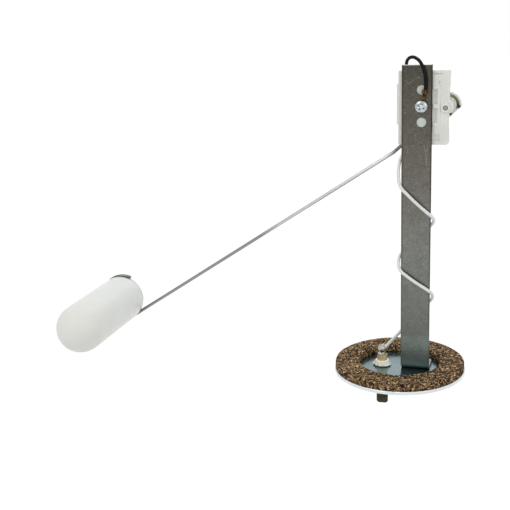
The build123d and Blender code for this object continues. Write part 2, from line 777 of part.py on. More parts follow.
# Rotor
arm_angle = math.degrees(math.atan2(kink_z - pivot_z, kink_x - pivot_x))
wiper_angle = 180 + swing / 2
chord_inside = rotor_chord - rotor_rim_width
chord_end = math.sqrt(rotor_rim_radius**2 - rotor_chord**2)
pin_spot = (rotor_chord - rotor_pin_inset, rotor_pin_place)
tab_spot = (rotor_chord - 0.9, chord_end - 0.6)
with BuildPart() as rotor_hub:
    with BuildSketch(turned_plane(rotor_back, rotor_chord_angle)):
        Circle(rotor_rim_radius)
        with Locations((rotor_chord + rotor_rim_radius, 0)):
            Rectangle(2 * rotor_rim_radius, 2 * rotor_rim_radius, mode=Mode.SUBTRACT)
    extrude(amount=rotor_back - rotor_rim_front)
    with BuildSketch(turned_plane(rotor_rim_front + rotor_recess, rotor_chord_angle)):
        Circle(rotor_rim_radius - rotor_rim_width)
        with Locations((chord_inside + rotor_rim_radius, 0)):
            Rectangle(2 * rotor_rim_radius, 2 * rotor_rim_radius, mode=Mode.SUBTRACT)
        with Locations(tab_spot):
            Rectangle(1.8, 1.4)
    extrude(amount=rotor_recess, mode=Mode.SUBTRACT)
    with BuildSketch(turned_plane(rotor_disc_back, 0)):
        Circle(rotor_disc_radius)
    extrude(amount=rotor_disc_depth)
    fillet(rotor_hub.faces().sort_by(Axis.Y)[0].edges(), 0.25)
    with BuildSketch(turned_plane(stop_back, wiper_angle)):
        with Locations(((lug_outer + barrel_radius) / 2, 0)):
            Rectangle(lug_outer - barrel_radius, lug_width)
    extrude(amount=stop_back - rotor_disc_front)
    with BuildSketch(turned_plane(rotor_disc_front + 0.1, 0)):
        Circle(barrel_radius)
    extrude(amount=rotor_disc_front + 0.1 - wiper_back)
    with BuildSketch(turned_plane(wiper_back, 0)):
        Circle(barrel_nose_radius)
    extrude(amount=wiper_back - plate_back - 0.2)
    # Lugs that grip the arm, and the relief for its bend
    with BuildSketch(turned_plane(arm_y + 0.5, arm_angle)):
        with Locations((3.4, wire_radius + 0.6), (3.4, -wire_radius - 0.6)):
            Rectangle(2.4, 1.0)
    extrude(amount=arm_y + 0.5 - rotor_back)
    with BuildSketch(turned_plane(rotor_back, 0)):
        Circle(wire_radius + 0.02)
    extrude(amount=rotor_back - plate_back, mode=Mode.SUBTRACT)
    with BuildSketch(turned_plane(rotor_back, rotor_chord_angle)):
        with Locations(pin_spot):
            Circle(rotor_pin_radius)
    extrude(amount=rotor_back - rotor_rim_front, mode=Mode.SUBTRACT)
    add(arm_wire.part, mode=Mode.SUBTRACT)
finish(rotor_hub, "rotor_hub")

# Pin in the rotor's rim
with BuildPart() as rotor_pin:
    with BuildSketch(turned_plane(rotor_back, rotor_chord_angle)):
        with Locations(pin_spot):
            Circle(rotor_pin_radius)
    extrude(amount=rotor_back - rotor_rim_front + 0.3)
finish(rotor_pin, "rotor_pin")

# Plate set in the rotor's face, with a tab out to the rim's corner
with BuildPart() as rotor_plate:
    with BuildSketch(turned_plane(rotor_rim_front + rotor_recess, rotor_chord_angle)):
        Circle(rotor_rim_radius - rotor_rim_width - fit_gap)
        with Locations((chord_inside - fit_gap + rotor_rim_radius, 0)):
            Rectangle(2 * rotor_rim_radius, 2 * rotor_rim_radius, mode=Mode.SUBTRACT)
        with Locations(tab_spot):
            Rectangle(1.8 - 2 * fit_gap, 1.4 - 2 * fit_gap)
        Circle(rotor_rim_radius - 0.05, mode=Mode.INTERSECT)
        Circle(rotor_disc_radius + fit_gap, mode=Mode.SUBTRACT)
        with Locations(pin_spot):
            Circle(rotor_pin_radius + fit_gap, mode=Mode.SUBTRACT)
    extrude(amount=rotor_recess)
finish(rotor_plate, "rotor_plate")

# Wiper spring with its contact
with BuildPart() as wiper_spring:
    with BuildSketch(turned_plane(wiper_back, wiper_angle)):
        Circle(barrel_radius + moving_gap)
        with BuildLine():
            Polyline(
                (1.0, 1.2),
                (wiper_reach + 1.0, 0.7),
                (wiper_reach + 1.0, -0.7),
                (1.0, -1.2),
                close=True,
            )
        make_face()
        Circle(barrel_nose_radius + fit_gap, mode=Mode.SUBTRACT)
    extrude(amount=wiper_thickness)
    with BuildSketch(turned_plane(wiper_front, wiper_angle)):
        with Locations((wiper_reach, 0)):
            Circle(contact_radius)
    extrude(amount=wiper_lift - contact_gap)
finish(wiper_spring, "wiper_spring")
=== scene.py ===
import bpy
import math
from mathutils import Matrix, Vector, noise


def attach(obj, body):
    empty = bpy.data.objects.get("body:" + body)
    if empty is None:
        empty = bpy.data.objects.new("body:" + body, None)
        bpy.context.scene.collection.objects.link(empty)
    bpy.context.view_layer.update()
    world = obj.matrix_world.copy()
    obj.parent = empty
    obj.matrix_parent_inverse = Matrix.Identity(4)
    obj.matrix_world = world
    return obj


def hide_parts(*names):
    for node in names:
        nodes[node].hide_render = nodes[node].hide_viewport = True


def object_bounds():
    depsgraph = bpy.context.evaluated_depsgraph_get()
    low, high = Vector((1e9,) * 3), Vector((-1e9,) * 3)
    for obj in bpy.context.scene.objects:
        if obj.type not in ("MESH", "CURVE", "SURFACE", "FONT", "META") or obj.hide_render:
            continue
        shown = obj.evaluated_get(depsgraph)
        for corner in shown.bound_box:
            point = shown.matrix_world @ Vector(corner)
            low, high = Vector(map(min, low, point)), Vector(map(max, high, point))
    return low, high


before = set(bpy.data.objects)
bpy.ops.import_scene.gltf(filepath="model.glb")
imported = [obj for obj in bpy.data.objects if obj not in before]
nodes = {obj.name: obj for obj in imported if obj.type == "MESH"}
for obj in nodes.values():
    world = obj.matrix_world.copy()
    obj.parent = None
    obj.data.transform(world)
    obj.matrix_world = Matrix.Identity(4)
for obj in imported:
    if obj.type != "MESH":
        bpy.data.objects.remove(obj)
cadLow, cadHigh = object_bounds()
mm = 0.001
print("frame loaded")


# Camera, from the photo's perspective

cameraSetup = {
    "place": (61.41 * mm, -400.56 * mm, 163.29 * mm),
    "turn": 17.834,  # degrees to the right of the strip's face
    "down": 15.516,
    "roll": -2.2157,
    "lens": 66.15,
}


def makeCamera(setup):
    turn, down, roll = (math.radians(setup[k]) for k in ("turn", "down", "roll"))
    level = Vector((-math.sin(turn), math.cos(turn), 0)) * math.cos(down)
    ahead = level - Vector((0, 0, math.sin(down)))
    side = Vector((math.cos(turn), math.sin(turn), 0))
    above = side.cross(ahead)
    right = math.cos(roll) * side + math.sin(roll) * above
    up = math.cos(roll) * above - math.sin(roll) * side
    data = bpy.data.cameras.new("camera")
    data.lens = setup["lens"]
    data.sensor_width = 36
    data.clip_start = 0.01
    data.clip_end = 20
    camera = bpy.data.objects.new("camera", data)
    bpy.context.scene.collection.objects.link(camera)
    pose = Matrix((right, up, -ahead)).transposed().to_4x4()
    pose.translation = Vector(setup["place"])
    camera.matrix_world = pose
    bpy.context.scene.camera = camera
    return camera


makeCamera(cameraSetup)
print("camera placed")


# Studio

studio = {
    "floorDrop": 0.11,
    "floorColor": (1, 1, 1, 1),
    "floorGlow": 1.13,
    "worldLight": 0.6,
    "lamps": [  # name, place, width, height, watts
        ("key", (-0.55, -0.65, 0.85), 0.55, 0.55, 2.5),
        ("fill", (0.75, -0.55, 0.45), 0.6, 0.6, 1.4),
        ("back", (0.1, 0.8, 0.75), 0.7, 0.7, 1.2),
        ("top", (0.08, 0.1, 0.95), 0.4, 0.2, 0.6),
        ("front", (-0.24, -0.84, 0.05), 0.42, 0.16, 0.25),
    ],
    "lampsAim": (-0.05, 0, 0.05),
    "floorSize": 8,
    "floorPaint": (0.82, 0.82, 0.82, 1),
    "floorGlowShare": 0.85,
}


def anyRay(tree, names):
    # 1 for a ray of one of the named kinds
    rays = tree.nodes.new("ShaderNodeLightPath")
    seen = rays.outputs[names[0]]
    for name in names[1:]:
        either = tree.nodes.new("ShaderNodeMath")
        either.operation = "MAXIMUM"
        tree.links.new(seen, either.inputs[0])
        tree.links.new(rays.outputs[name], either.inputs[1])
        seen = either.outputs[0]
    return seen


def mixShaders(tree, share, first, second, out):
    mix = tree.nodes.new("ShaderNodeMixShader")
    tree.links.new(share, mix.inputs[0])
    tree.links.new(first.outputs[0], mix.inputs[1])
    tree.links.new(second.outputs[0], mix.inputs[2])
    tree.links.new(mix.outputs[0], out.inputs["Surface"])


def makeWorld(setup):
    world = bpy.data.worlds.new("studio")
    bpy.context.scene.world = world
    world.use_nodes = True
    tree = world.node_tree
    tree.nodes.clear()
    out = tree.nodes.new("ShaderNodeOutputWorld")
    lit = tree.nodes.new("ShaderNodeBackground")
    lit.inputs["Color"].default_value = (1, 1, 1, 1)
    lit.inputs["Strength"].default_value = setup["worldLight"]
    shown = tree.nodes.new("ShaderNodeBackground")
    shown.inputs["Color"].default_value = (1, 1, 1, 1)
    shown.inputs["Strength"].default_value = 1.0
    white = anyRay(tree, ("Is Camera Ray", "Is Glossy Ray", "Is Transmission Ray"))
    mixShaders(tree, white, lit, shown, out)


def makeLamps(setup):
    for name, place, width, tall, watts in setup["lamps"]:
        data = bpy.data.lights.new(name, "AREA")
        data.shape = "RECTANGLE"
        data.size = width
        data.size_y = tall
        data.energy = watts
        lamp = bpy.data.objects.new(name, data)
        lamp.location = place
        ray = Vector(setup["lampsAim"]) - Vector(place)
        lamp.rotation_euler = ray.to_track_quat("-Z", "Y").to_euler()
        bpy.context.scene.collection.objects.link(lamp)


def makeFloor(setup):
    height = cadLow.z - setup["floorDrop"]
    bpy.ops.mesh.primitive_plane_add(size=setup["floorSize"], location=(0, 0, height))
    floor = bpy.context.object
    floor.name = "floor"
    material = bpy.data.materials.new("floor")
    material.use_nodes = True
    tree = material.node_tree
    tree.nodes.clear()
    out = tree.nodes.new("ShaderNodeOutputMaterial")
    matte = tree.nodes.new("ShaderNodeBsdfDiffuse")
    matte.inputs["Color"].default_value = setup["floorPaint"]
    glow = tree.nodes.new("ShaderNodeEmission")
    glow.inputs["Color"].default_value = setup["floorColor"]
    glow.inputs["Strength"].default_value = setup["floorGlow"]
    share = tree.nodes.new("ShaderNodeMath")
    share.operation = "MULTIPLY"
    share.inputs[1].default_value = setup["floorGlowShare"]
    tree.links.new(anyRay(tree, ("Is Camera Ray", "Is Glossy Ray")), share.inputs[0])
    mixShaders(tree, share.outputs[0], matte, glow, out)
    floor.data.materials.append(material)


makeWorld(studio)
makeLamps(studio)
makeFloor(studio)
bpy.context.scene.view_settings.view_transform = "Standard"
print("studio lit")


# Materials

def shade(code):
    # an sRGB hex code as the linear colour that shaders take
    parts = [int(code[i:i + 2], 16) / 255 for i in (0, 2, 4)]
    linear = [p / 12.92 if p <= 0.04045 else ((p + 0.055) / 1.055) ** 2.4 for p in parts]
    return tuple(linear) + (1.0,)


class Paint:
    def __init__(self, name):
        self.material = bpy.data.materials.new(name)
        self.material.use_nodes = True
        self.tree = self.material.node_tree
        self.bsdf = self.tree.nodes["Principled BSDF"]
        self.coords = self.add("ShaderNodeTexCoord").outputs["Object"]

    def add(self, kind, **values):
        node = self.tree.nodes.new(kind)
        for key, value in values.items():
            setattr(node, key, value)
        return node

    def join(self, source, target):
        self.tree.links.new(source, target)

    def set(self, **values):
        for key, value in values.items():
            self.bsdf.inputs[key.replace("_", " ")].default_value = value

    def noise(self, scale, detail=3.0, rough=0.55, stretch=(1, 1, 1)):
        turn = self.add("ShaderNodeMapping")
        turn.inputs["Scale"].default_value = stretch
        node = self.add("ShaderNodeTexNoise")
        node.inputs["Scale"].default_value = scale
        node.inputs["Detail"].default_value = detail
        node.inputs["Roughness"].default_value = rough
        self.join(self.coords, turn.inputs["Vector"])
        self.join(turn.outputs["Vector"], node.inputs["Vector"])
        return node.outputs["Fac"]

    def ramp(self, source, stops):
        node = self.add("ShaderNodeValToRGB")
        while len(node.color_ramp.elements) < len(stops):
            node.color_ramp.elements.new(0.5)
        for element, (place, code) in zip(node.color_ramp.elements, stops):
            element.position = place
            element.color = shade(code) if isinstance(code, str) else (code, code, code, 1)
        self.join(source, node.inputs["Fac"])
        return node.outputs["Color"]

    def blend(self, how, first, second, share):
        node = self.add("ShaderNodeMix", data_type="RGBA", blend_type=how)
        for index, value in ((6, first), (7, second), (0, share)):
            if isinstance(value, (int, float, tuple)):
                node.inputs[index].default_value = value
            else:
                self.join(value, node.inputs[index])
        return node.outputs[2]

    def bump(self, source, height, strength=1.0, after=None):
        node = self.add("ShaderNodeBump")
        node.inputs["Distance"].default_value = height
        node.inputs["Strength"].default_value = strength
        self.join(source, node.inputs["Height"])
        if after is not None:
            self.join(after, node.inputs["Normal"])
        self.join(node.outputs["Normal"], self.bsdf.inputs["Normal"])
        return node.outputs["Normal"]


def along(paint, axis, low, high):
    split = paint.add("ShaderNodeSeparateXYZ")
    paint.join(paint.coords, split.inputs[0])
    spread = paint.add("ShaderNodeMapRange")
    spread.inputs["From Min"].default_value = low
    spread.inputs["From Max"].default_value = high
    paint.join(split.outputs[axis], spread.inputs["Value"])
    return spread.outputs[0]


stripStrokes = [  # middle (X, Z) in mm, length, lean from the X axis in degrees
    ((3.65, 124.9), 4.1, 36),
    ((6.85, 127.0), 3.6, 31),
    ((8.7, 127.5), 1.3, -61),
    ((3.3, 126.2), 1.7, 88),
    ((5.5, 105.7), 2.6, 18),
    ((4.9, 104.7), 1.8, 12),
]
strokeWidth = 0.14


def stroke(paint, middle, length, lean):
    placed = paint.add("ShaderNodeMapping", vector_type="TEXTURE")
    placed.inputs["Location"].default_value = (middle[0] * mm, 0, middle[1] * mm)
    placed.inputs["Rotation"].default_value = (0, -math.radians(lean), 0)
    paint.join(paint.coords, placed.inputs["Vector"])
    split = paint.add("ShaderNodeSeparateXYZ")
    paint.join(placed.outputs["Vector"], split.inputs[0])
    marks = []
    for axis, reach in (("X", length / 2 * mm), ("Z", strokeWidth / 2 * mm)):
        close = paint.add("ShaderNodeMath", operation="COMPARE")
        close.inputs[1].default_value = 0.0
        close.inputs[2].default_value = reach
        paint.join(split.outputs[axis], close.inputs[0])
        marks.append(close.outputs[0])
    worn = paint.ramp(paint.noise(700, 2.0), [(0.4, 0.2), (0.6, 1.0)])
    return paint.blend("MULTIPLY", paint.blend("MULTIPLY", marks[0], marks[1], 1.0), worn, 1.0)


def zincStrip():
    paint = Paint("zincStrip")
    height = along(paint, "Z", -3.2 * mm, 133 * mm)
    # painted reflection: the foot is painted a pale blue-grey, lighter than the strip above it, standing for
    # the flange reflected in the bend; above that the tone grows darker towards the top
    body = paint.ramp(height, [
        (0.0, "99a7a4"), (0.08, "99a7a4"), (0.13, "7a7e78"), (0.42, "8a8d87"), (0.62, "78756d"),
        (0.85, "5c584f"), (1.0, "4c493f")])
    drift = paint.ramp(paint.noise(75, 3.0, 0.6), [(0.35, "8e877c"), (0.65, "aab0ac")])
    tone = paint.blend("OVERLAY", body, drift, 0.28)
    mottle = paint.ramp(paint.noise(420, 5.0, 0.7), [(0.3, 0.6), (0.7, 1.0)])
    tone = paint.blend("MULTIPLY", tone, mottle, 0.65)
    grain = paint.ramp(paint.noise(1300, 3.0, 0.7), [(0.35, 0.55), (0.65, 1.0)])
    tone = paint.blend("MULTIPLY", tone, grain, 0.6)
    fleck = paint.ramp(paint.noise(1500, 2.0), [(0.58, 0.0), (0.72, 1.0)])
    tone = paint.blend("ADD", tone, fleck, 0.08)
    used = paint.ramp(height, [(0.6, 0.0), (0.72, 1.0)])
    tone = paint.blend("ADD", tone, paint.blend("MULTIPLY", scratches(paint), used, 1.0), 0.4)
    for middle, length, lean in stripStrokes:
        tone = paint.blend("ADD", tone, stroke(paint, middle, length, lean), 0.15)
    # painted highlight: a pale line along the strip's top edge
    topEdgeHighlight = paint.ramp(along(paint, "Z", 132.6 * mm, 132.9 * mm), [(0.0, 0.0), (0.8, 1.0)])
    tone = paint.blend("MIX", tone, shade("d2d4d0"), topEdgeHighlight)
    # across the strip: browner along the left edge; a painted shade band near the right edge with a thin
    # painted highlight on the very edge; all weaker towards the bottom
    across = along(paint, "X", 1.1 * mm, 13.8 * mm)
    edges = paint.ramp(across, [
        (0.0, "b49a6c"), (0.08, "ffffff"), (0.955, "ffffff"), (0.985, "56606e"), (0.996, "56606e"),
        (0.9995, "c4c8cc")])
    edgeShare = paint.ramp(height, [(0.1, 0.4), (0.5, 1.0)])
    tone = paint.blend("MULTIPLY", tone, edges, edgeShare)
    paint.join(tone, paint.bsdf.inputs["Base Color"])
    paint.set(Metallic=0.75, Roughness=0.3)
    paint.bump(paint.noise(900, 4.0), 0.03 * mm, 0.6)
    return paint.material


def scratches(paint):
    # thin light lines where the upper half of the strip was handled
    lines = []
    for turn, scale, low in ((0.5, 190, 0.985), (-0.9, 150, 0.985)):
        tilt = paint.add("ShaderNodeMapping")
        tilt.inputs["Rotation"].default_value = (0, turn, 0)
        tilt.inputs["Scale"].default_value = (1, 0.05, 0.12)
        wave = paint.add("ShaderNodeTexNoise")
        wave.inputs["Scale"].default_value = scale
        wave.inputs["Detail"].default_value = 0.0
        wave.inputs["Distortion"].default_value = 0.6
        paint.join(paint.coords, tilt.inputs["Vector"])
        paint.join(tilt.outputs["Vector"], wave.inputs["Vector"])
        middle = paint.add("ShaderNodeMath", operation="SUBTRACT")
        middle.inputs[1].default_value = 0.5
        width = paint.add("ShaderNodeMath", operation="ABSOLUTE")
        paint.join(wave.outputs["Fac"], middle.inputs[0])
        paint.join(middle.outputs[0], width.inputs[0])
        lines.append(paint.ramp(width.outputs[0], [(0.0, 1.0), (0.012, 0.0)]))
    both = paint.blend("LIGHTEN", lines[0], lines[1], 1.0)
    broken = paint.ramp(paint.noise(60, 2.0), [(0.52, 0.0), (0.66, 1.0)])
    return paint.blend("MULTIPLY", both, broken, 1.0)


def distanceFrom(paint, kept, centre, limit):
    # 0 at the centre and 1 at the limit, over the axes that are kept
    flat = paint.add("ShaderNodeVectorMath", operation="MULTIPLY")
    flat.inputs[1].default_value = kept
    paint.join(paint.coords, flat.inputs[0])
    reach = paint.add("ShaderNodeVectorMath", operation="DISTANCE")
    reach.inputs[1].default_value = Vector(centre) * mm
    paint.join(flat.outputs[0], reach.inputs[0])
    spread = paint.add("ShaderNodeMapRange")
    spread.inputs["From Max"].default_value = limit * mm
    paint.join(reach.outputs["Value"], spread.inputs["Value"])
    return spread.outputs[0]


def zincPlate():
    paint = Paint("zincPlate")
    # painted reflection: the outer rim is painted lighter than the inside of the plate
    rim = paint.ramp(distanceFrom(paint, (1, 1, 0), (0, 0, 0), 30), [(0.7, 0.0), (0.9, 1.0)])
    tone = paint.blend("MIX", shade("74888b"), shade("dfe4e5"), rim)
    cloud = paint.ramp(paint.noise(140, 4.0), [(0.3, 0.8), (0.7, 1.0)])
    tone = paint.blend("MULTIPLY", tone, cloud, 0.6)
    paint.join(tone, paint.bsdf.inputs["Base Color"])
    paint.set(Metallic=0.92, Roughness=0.2)
    paint.bump(paint.noise(160, 2.0), 0.05 * mm, 0.4)
    return paint.material


def cork():
    paint = Paint("cork")
    warp = paint.add("ShaderNodeMix", data_type="VECTOR")
    shift = paint.add("ShaderNodeTexNoise")
    shift.inputs["Scale"].default_value = 900
    warp.inputs[0].default_value = 0.0016
    paint.join(paint.coords, shift.inputs["Vector"])
    paint.join(paint.coords, warp.inputs[4])
    paint.join(shift.outputs["Color"], warp.inputs[5])

    def grains(scale):
        grain = paint.add("ShaderNodeTexVoronoi")
        grain.inputs["Scale"].default_value = scale
        paint.join(warp.outputs[1], grain.inputs["Vector"])
        single = paint.add("ShaderNodeSeparateColor")
        paint.join(grain.outputs["Color"], single.inputs[0])
        return grain, single.outputs[0]

    coarse, coarseTone = grains(1550)
    fine, fineTone = grains(2900)
    tone = paint.ramp(coarseTone, [
        (0.0, "100b06"), (0.24, "322418"), (0.45, "664c34"), (0.66, "92734f"), (0.84, "c4a278"),
        (1.0, "f8e0b6")])
    flecks = paint.ramp(fineTone, [(0.0, 0.25), (0.3, 0.75), (0.7, 1.0), (1.0, 1.5)])
    tone = paint.blend("MULTIPLY", tone, flecks, 0.8)
    edge = paint.ramp(coarse.outputs["Distance"], [(0.3, 1.0), (0.8, 0.45)])
    tone = paint.blend("MULTIPLY", tone, edge, 0.7)
    paint.join(tone, paint.bsdf.inputs["Base Color"])
    paint.set(Roughness=0.85, Specular_IOR_Level=0.12)
    first = paint.bump(coarse.outputs["Distance"], 0.25 * mm, 0.8)
    paint.bump(fine.outputs["Distance"], 0.1 * mm, 0.7, first)
    return paint.material


def pegAndBoreShade(paint, tone, pegShade):
    # painted shade: the peg ends in the strip's holes are painted darker, and the pivot's bore has a painted
    # dark shadow ring
    front = paint.ramp(along(paint, "Y", -3.3 * mm, -3.1 * mm), [(0.0, 1.0), (1.0, 0.0)])
    side = paint.ramp(along(paint, "X", 13 * mm, 14 * mm), [(0.0, 1.0), (1.0, 0.0)])
    tone = paint.blend("MIX", tone, shade(pegShade), paint.blend("MULTIPLY", front, side, 1.0))
    # painted shadow: a dark ring round the pivot's bore
    spread = distanceFrom(paint, (1, 0, 1), (19.3, 0, 115), 2)
    boreShadow = paint.ramp(spread, [(0.44, 1.0), (0.62, 0.0)])
    return paint.blend("MIX", tone, shade("4c4e4c"), boreShadow)


def nylon(name, low, high, depth, weight, rough=0.36, pegShade=None):
    paint = Paint(name)
    tone = paint.ramp(paint.noise(90, 2.0), [(0.3, low), (0.7, high)])
    if pegShade:
        tone = pegAndBoreShade(paint, tone, pegShade)
    paint.join(tone, paint.bsdf.inputs["Base Color"])
    paint.set(Roughness=rough)
    paint.set(Subsurface_Weight=weight, Subsurface_Scale=depth, Subsurface_Radius=(1, 1, 1))
    paint.bump(paint.noise(700, 2.0), 0.01 * mm, 0.3)
    return paint.material


def floatNylon():
    paint = Paint("floatNylon")
    tone = paint.ramp(along(paint, "Y", -47 * mm, 18 * mm), [
        (0.0, "edeee6"), (0.35, "f0f2ee"), (1.0, "eef1ef")])
    cloud = paint.ramp(paint.noise(70, 3.0), [(0.3, 0.96), (0.7, 1.0)])
    tone = paint.blend("MULTIPLY", tone, cloud, 1.0)
    paint.join(tone, paint.bsdf.inputs["Base Color"])
    paint.set(Roughness=0.28, Specular_IOR_Level=0.25)
    paint.set(Subsurface_Weight=0.4, Subsurface_Scale=1.5 * mm, Subsurface_Radius=(1, 1, 1))
    paint.bump(paint.noise(500, 2.0), 0.01 * mm, 0.25)
    return paint.material


def plainMetal(name, low, high, rough, scale=400, metallic=1.0, wavy=0.4):
    paint = Paint(name)
    tone = paint.ramp(paint.noise(scale, 4.0), [(0.3, low), (0.7, high)])
    paint.join(tone, paint.bsdf.inputs["Base Color"])
    paint.set(Metallic=metallic, Roughness=rough)
    paint.bump(paint.noise(scale * 2, 3.0), 0.02 * mm, wavy)
    return paint.material


def coated(name, low, high, rough, shine=0.5):
    paint = Paint(name)
    tone = paint.ramp(paint.noise(600, 3.0), [(0.3, low), (0.7, high)])
    paint.join(tone, paint.bsdf.inputs["Base Color"])
    paint.set(Roughness=rough, Specular_IOR_Level=shine)
    paint.bump(paint.noise(900, 2.0), 0.01 * mm, 0.3)
    return paint.material


def rotorBrass():
    paint = Paint("rotorBrass")
    # painted shade and highlight: the plate is painted dark at the bottom and light at the top
    tone = paint.ramp(along(paint, "Z", 110 * mm, 122 * mm), [
        (0.0, "2c2c20"), (0.42, "46462f"), (0.65, "8a8868"), (1.0, "b8b592")])
    spots = paint.ramp(paint.noise(500, 3.0), [(0.3, 0.8), (0.7, 1.0)])
    paint.join(paint.blend("MULTIPLY", tone, spots, 1.0), paint.bsdf.inputs["Base Color"])
    paint.set(Metallic=0.6, Roughness=0.45)
    return paint.material


def drawnWire():
    paint = Paint("armSteel")
    # painted light: tones in steps along the arm, as in the photo: painted shade at the hook, a painted
    # highlight along the middle, and painted shade from the kink to the pivot
    tone = paint.ramp(along(paint, "X", -135 * mm, 20 * mm), [
        (0.0, "6c6e6c"), (0.05, "969893"), (0.44, "8e908e"), (0.5, "b8baba"), (0.82, "bec0c0"),
        (0.85, "6a6c6c"), (1.0, "707272")])
    drawn = paint.ramp(paint.noise(220, 3.0, 0.6), [(0.3, 0.92), (0.7, 1.0)])
    paint.join(paint.blend("MULTIPLY", tone, drawn, 1.0), paint.bsdf.inputs["Base Color"])
    paint.set(Metallic=1.0, Roughness=0.13)
    return paint.material


finishes = {
    "bracket_strip": zincStrip(),
    "flange_plate": zincPlate(),
    "cork": cork(),
    # the last colour, ced6cd, is the painted shade of the peg ends in the strip's holes
    "white": nylon("whiteNylon", "e2e3dc", "eaebe4", 1.0 * mm, 0.5, 0.4, "ced6cd"),
    "float": floatNylon(),
    "brass": plainMetal("dullBrass", "3c2612", "9c7a44", 0.38, 900),
    "bushWhite": nylon("bushWhite", "e8e6da", "fbfaf2", 0.5 * mm, 0.4, 0.4),
    "screwSteel": plainMetal("screwSteel", "9aa1a3", "c6cbcc", 0.16, 700, 1.0, 1.0),
    "steel": plainMetal("brightSteel", "a8adaf", "d0d4d5", 0.2),
    "armSteel": drawnWire(),
    "rotorBrass": rotorBrass(),
    "darkCopper": plainMetal("darkCopper", "1c0e08", "4a2a18", 0.4, 1500),
    "goldBrass": plainMetal("goldBrass", "dcbc68", "fff0bc", 0.34, 400, 0.5, 0.2),
    "solder": plainMetal("solder", "76746c", "c8c6be", 0.2, 260),
    # darkBrass: oxidised brass, painted darker still as painted shade, as on the blade's unlit underside
    "darkBrass": plainMetal("darkBrass", "302e20", "4c4a34", 0.5),
    "bronze": plainMetal("bronze", "a87848", "c49460", 0.35),
    "whiteWire": nylon("whiteWire", "e2e4e0", "eef0ec", 0.6 * mm, 0.4, 0.22),
    "blackWire": coated("blackWire", "040505", "0a0b0b", 0.26, 0.12),
    "darkNylon": coated("darkNylon", "2a2820", "38352a", 0.5),
    "card": coated("card", "6e4c28", "86602f", 0.6),
}

nodeFinish = {
    "flange_plate": "flange_plate",
    "cork_gasket": "cork",
    "bracket_strip": "bracket_strip",
    "foot_rivet_left": "steel",
    "foot_rivet_right": "steel",
    "inner_bush": "white",
    "outer_insulator": "darkNylon",
    "terminal_blade": "darkBrass",
    "terminal_ferrule": "goldBrass",
    "terminal_solder": "solder",
    "signal_wire": "whiteWire",
    "earth_wire": "blackWire",
    "ring_terminal": "brass",
    "earth_screw": "steel",
    "earth_nut": "steel",
    "housing_body": "white",
    "housing_cover": "white",
    "cover_screw_lower": "steel",
    "cover_screw_upper": "steel",
    "card_former": "card",
    "resistance_winding": "bronze",
    "signal_tag": "brass",
    "pickup_spring": "bronze",
    "arm_wire": "armSteel",
    "float": "float",
    "rotor_hub": "white",
    "rotor_pin": "darkBrass",
    "rotor_plate": "rotorBrass",
    "wiper_spring": "bronze",
}

for nodeName, finishName in nodeFinish.items():
    mesh = nodes[nodeName].data
    for slotIndex in range(len(mesh.materials)):
        mesh.materials[slotIndex] = finishes[finishName]
    if not mesh.materials:
        mesh.materials.append(finishes[finishName])
print("materials set")


# Pieces with more detail than the solids have

def pick(*pieces):
    # selects these only, with the last one active
    bpy.ops.object.select_all(action="DESELECT")
    for piece in pieces:
        piece.select_set(True)
    bpy.context.view_layer.objects.active = pieces[-1]


def drawLine(points):
    # edges through the points, left in edit mode
    bpy.ops.object.select_all(action="DESELECT")
    bpy.ops.mesh.primitive_plane_add(size=0.1 * mm, location=points[0])
    piece = bpy.context.object
    bpy.ops.object.transform_apply()
    bpy.ops.object.mode_set(mode="EDIT")
    bpy.ops.mesh.select_all(action="SELECT")
    bpy.ops.mesh.merge(type="CENTER")
    for before, after in zip(points, points[1:]):
        bpy.ops.mesh.extrude_vertices_move(TRANSFORM_OT_translate={"value": after - before})
    bpy.ops.mesh.select_all(action="SELECT")
    return piece


def spinPiece(name, outline, centre, axis, steps):
    # outline: (radius, height) in millimetres, turned about the axis through the centre
    if axis == "Z":
        points = [Vector((centre[0] + radius, centre[1], height)) * mm for radius, height in outline]
        middle, pole = (centre[0] * mm, centre[1] * mm, 0), (0, 0, 1)
    else:
        points = [Vector((centre[0] + radius, height, centre[1])) * mm for radius, height in outline]
        middle, pole = (centre[0] * mm, 0, centre[1] * mm), (0, 1, 0)
    piece = drawLine(points)
    piece.name = name
    bpy.ops.mesh.spin(steps=steps, angle=2 * math.pi, center=middle, axis=pole)
    bpy.ops.mesh.select_all(action="SELECT")
    bpy.ops.mesh.remove_doubles(threshold=0.003 * mm)
    bpy.ops.mesh.normals_make_consistent(inside=False)
    bpy.ops.object.mode_set(mode="OBJECT")
    return piece


def settle(piece, body, finish, slot, *replaced):
    piece.data.materials.clear()
    piece.data.materials.append(finishes[finish])
    pick(piece)
    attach(piece, body)
    if replaced:
        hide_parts(*replaced)
    print(piece.name, "made,", len(piece.data.polygons), "faces")


def smooth(piece, degrees):
    pick(piece)
    bpy.ops.object.shade_smooth_by_angle(angle=math.radians(degrees))


def spaced(first, last, pitch):
    # points from first up to last, which itself is left out
    wide, tall = last[0] - first[0], last[1] - first[1]
    count = max(1, round(math.hypot(wide, tall) / pitch))
    return [(first[0] + wide * i / count, first[1] + tall * i / count) for i in range(count)]


corkRing = {
    "bore": 18.1,
    "edge": 29.0,
    "low": -3.2,
    "high": 0.0,
    "pitch": 0.36,
    "turns": 440,
    "grain": 0.62,
    "bulge": 0.11,
    "crack": 0.16,
    "crackReach": 0.22,
    "corner": 0.25,
    "cornerReach": 0.3,
    "topDrop": 0.1,
    "smooth": 60,
}


